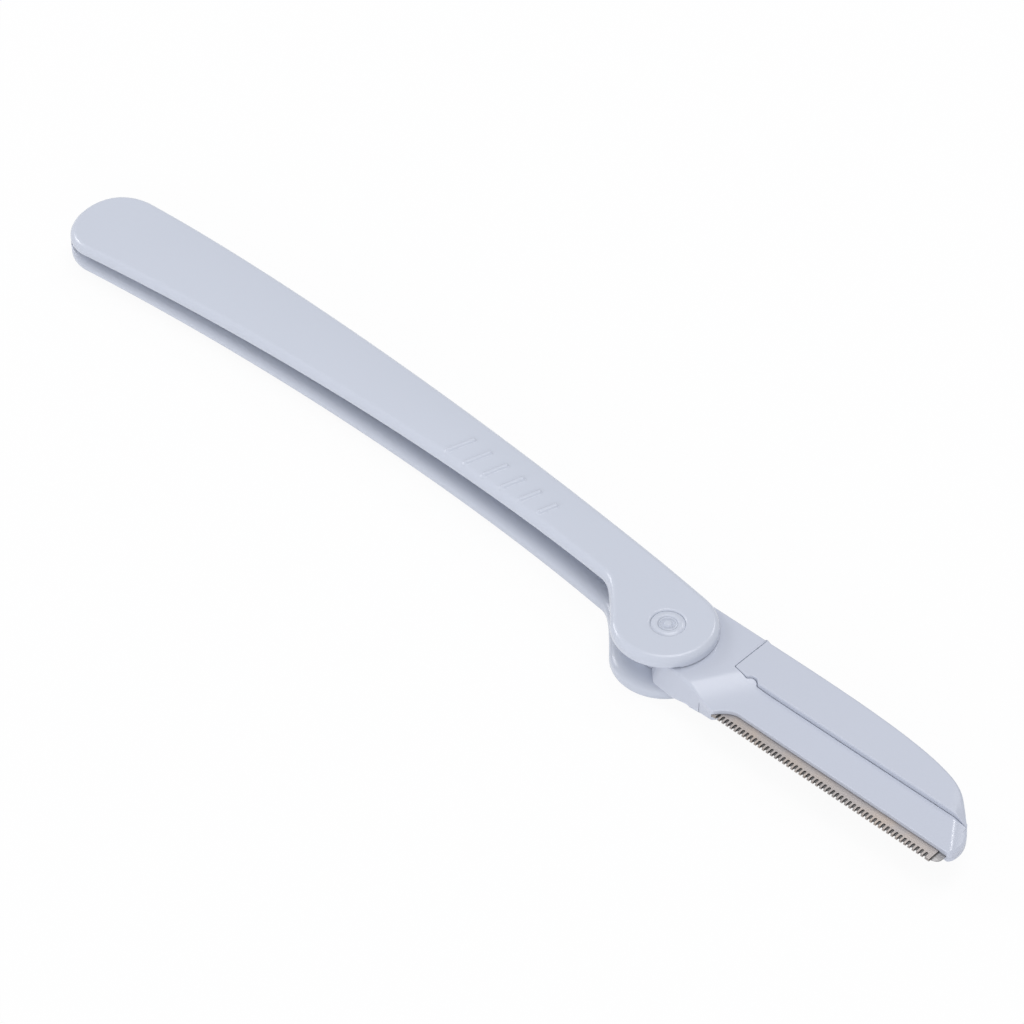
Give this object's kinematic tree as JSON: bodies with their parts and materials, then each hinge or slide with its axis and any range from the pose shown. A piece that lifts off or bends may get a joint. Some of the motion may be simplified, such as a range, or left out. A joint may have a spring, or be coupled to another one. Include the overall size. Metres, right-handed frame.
{
  "type": "folding eyebrow razor",
  "caption": "Folding razor for trimming eyebrows: a bowed channel handle and a guarded comb blade that folds about a rivet into the handle's slot.",
  "frame": {"origin": "on the pivot axis, at the flat back of the pivot's rear ear", "axes": "+X from the pivot to the tip of the open head, +Y to the spine side, +Z through the thickness from the back to the front, shown, face"},
  "size_m": [0.156, 0.0199, 0.007],
  "materials": {
    "handle": "moulded white plastic with a cool blue tint, glossy",
    "pivot_sleeve": "moulded white plastic, glossy",
    "pivot_pin": "moulded white plastic, glossy",
    "blade_carrier": "moulded white plastic with a cool blue tint, glossy",
    "spine_cover": "moulded white plastic with a cool blue tint, glossy",
    "blade": "dark ground steel",
    "comb_guard": "warm grey rolled steel sheet"
  },
  "bodies": {
    "handle_body": {"handle": "handle", "pivot_sleeve": "pivot_sleeve", "pivot_pin": "pivot_pin"},
    "head": {"blade_carrier": "blade_carrier", "spine_cover": "spine_cover", "blade": "blade", "comb_guard": "comb_guard"}
  },
  "joints": [
    {"name": "head_fold", "type": "hinge", "parent": "handle_body", "child": "head", "pos_m": [0, 0, 0.0034], "axis": [0, 0, -1], "range_deg": [0, 180]}
  ]
}
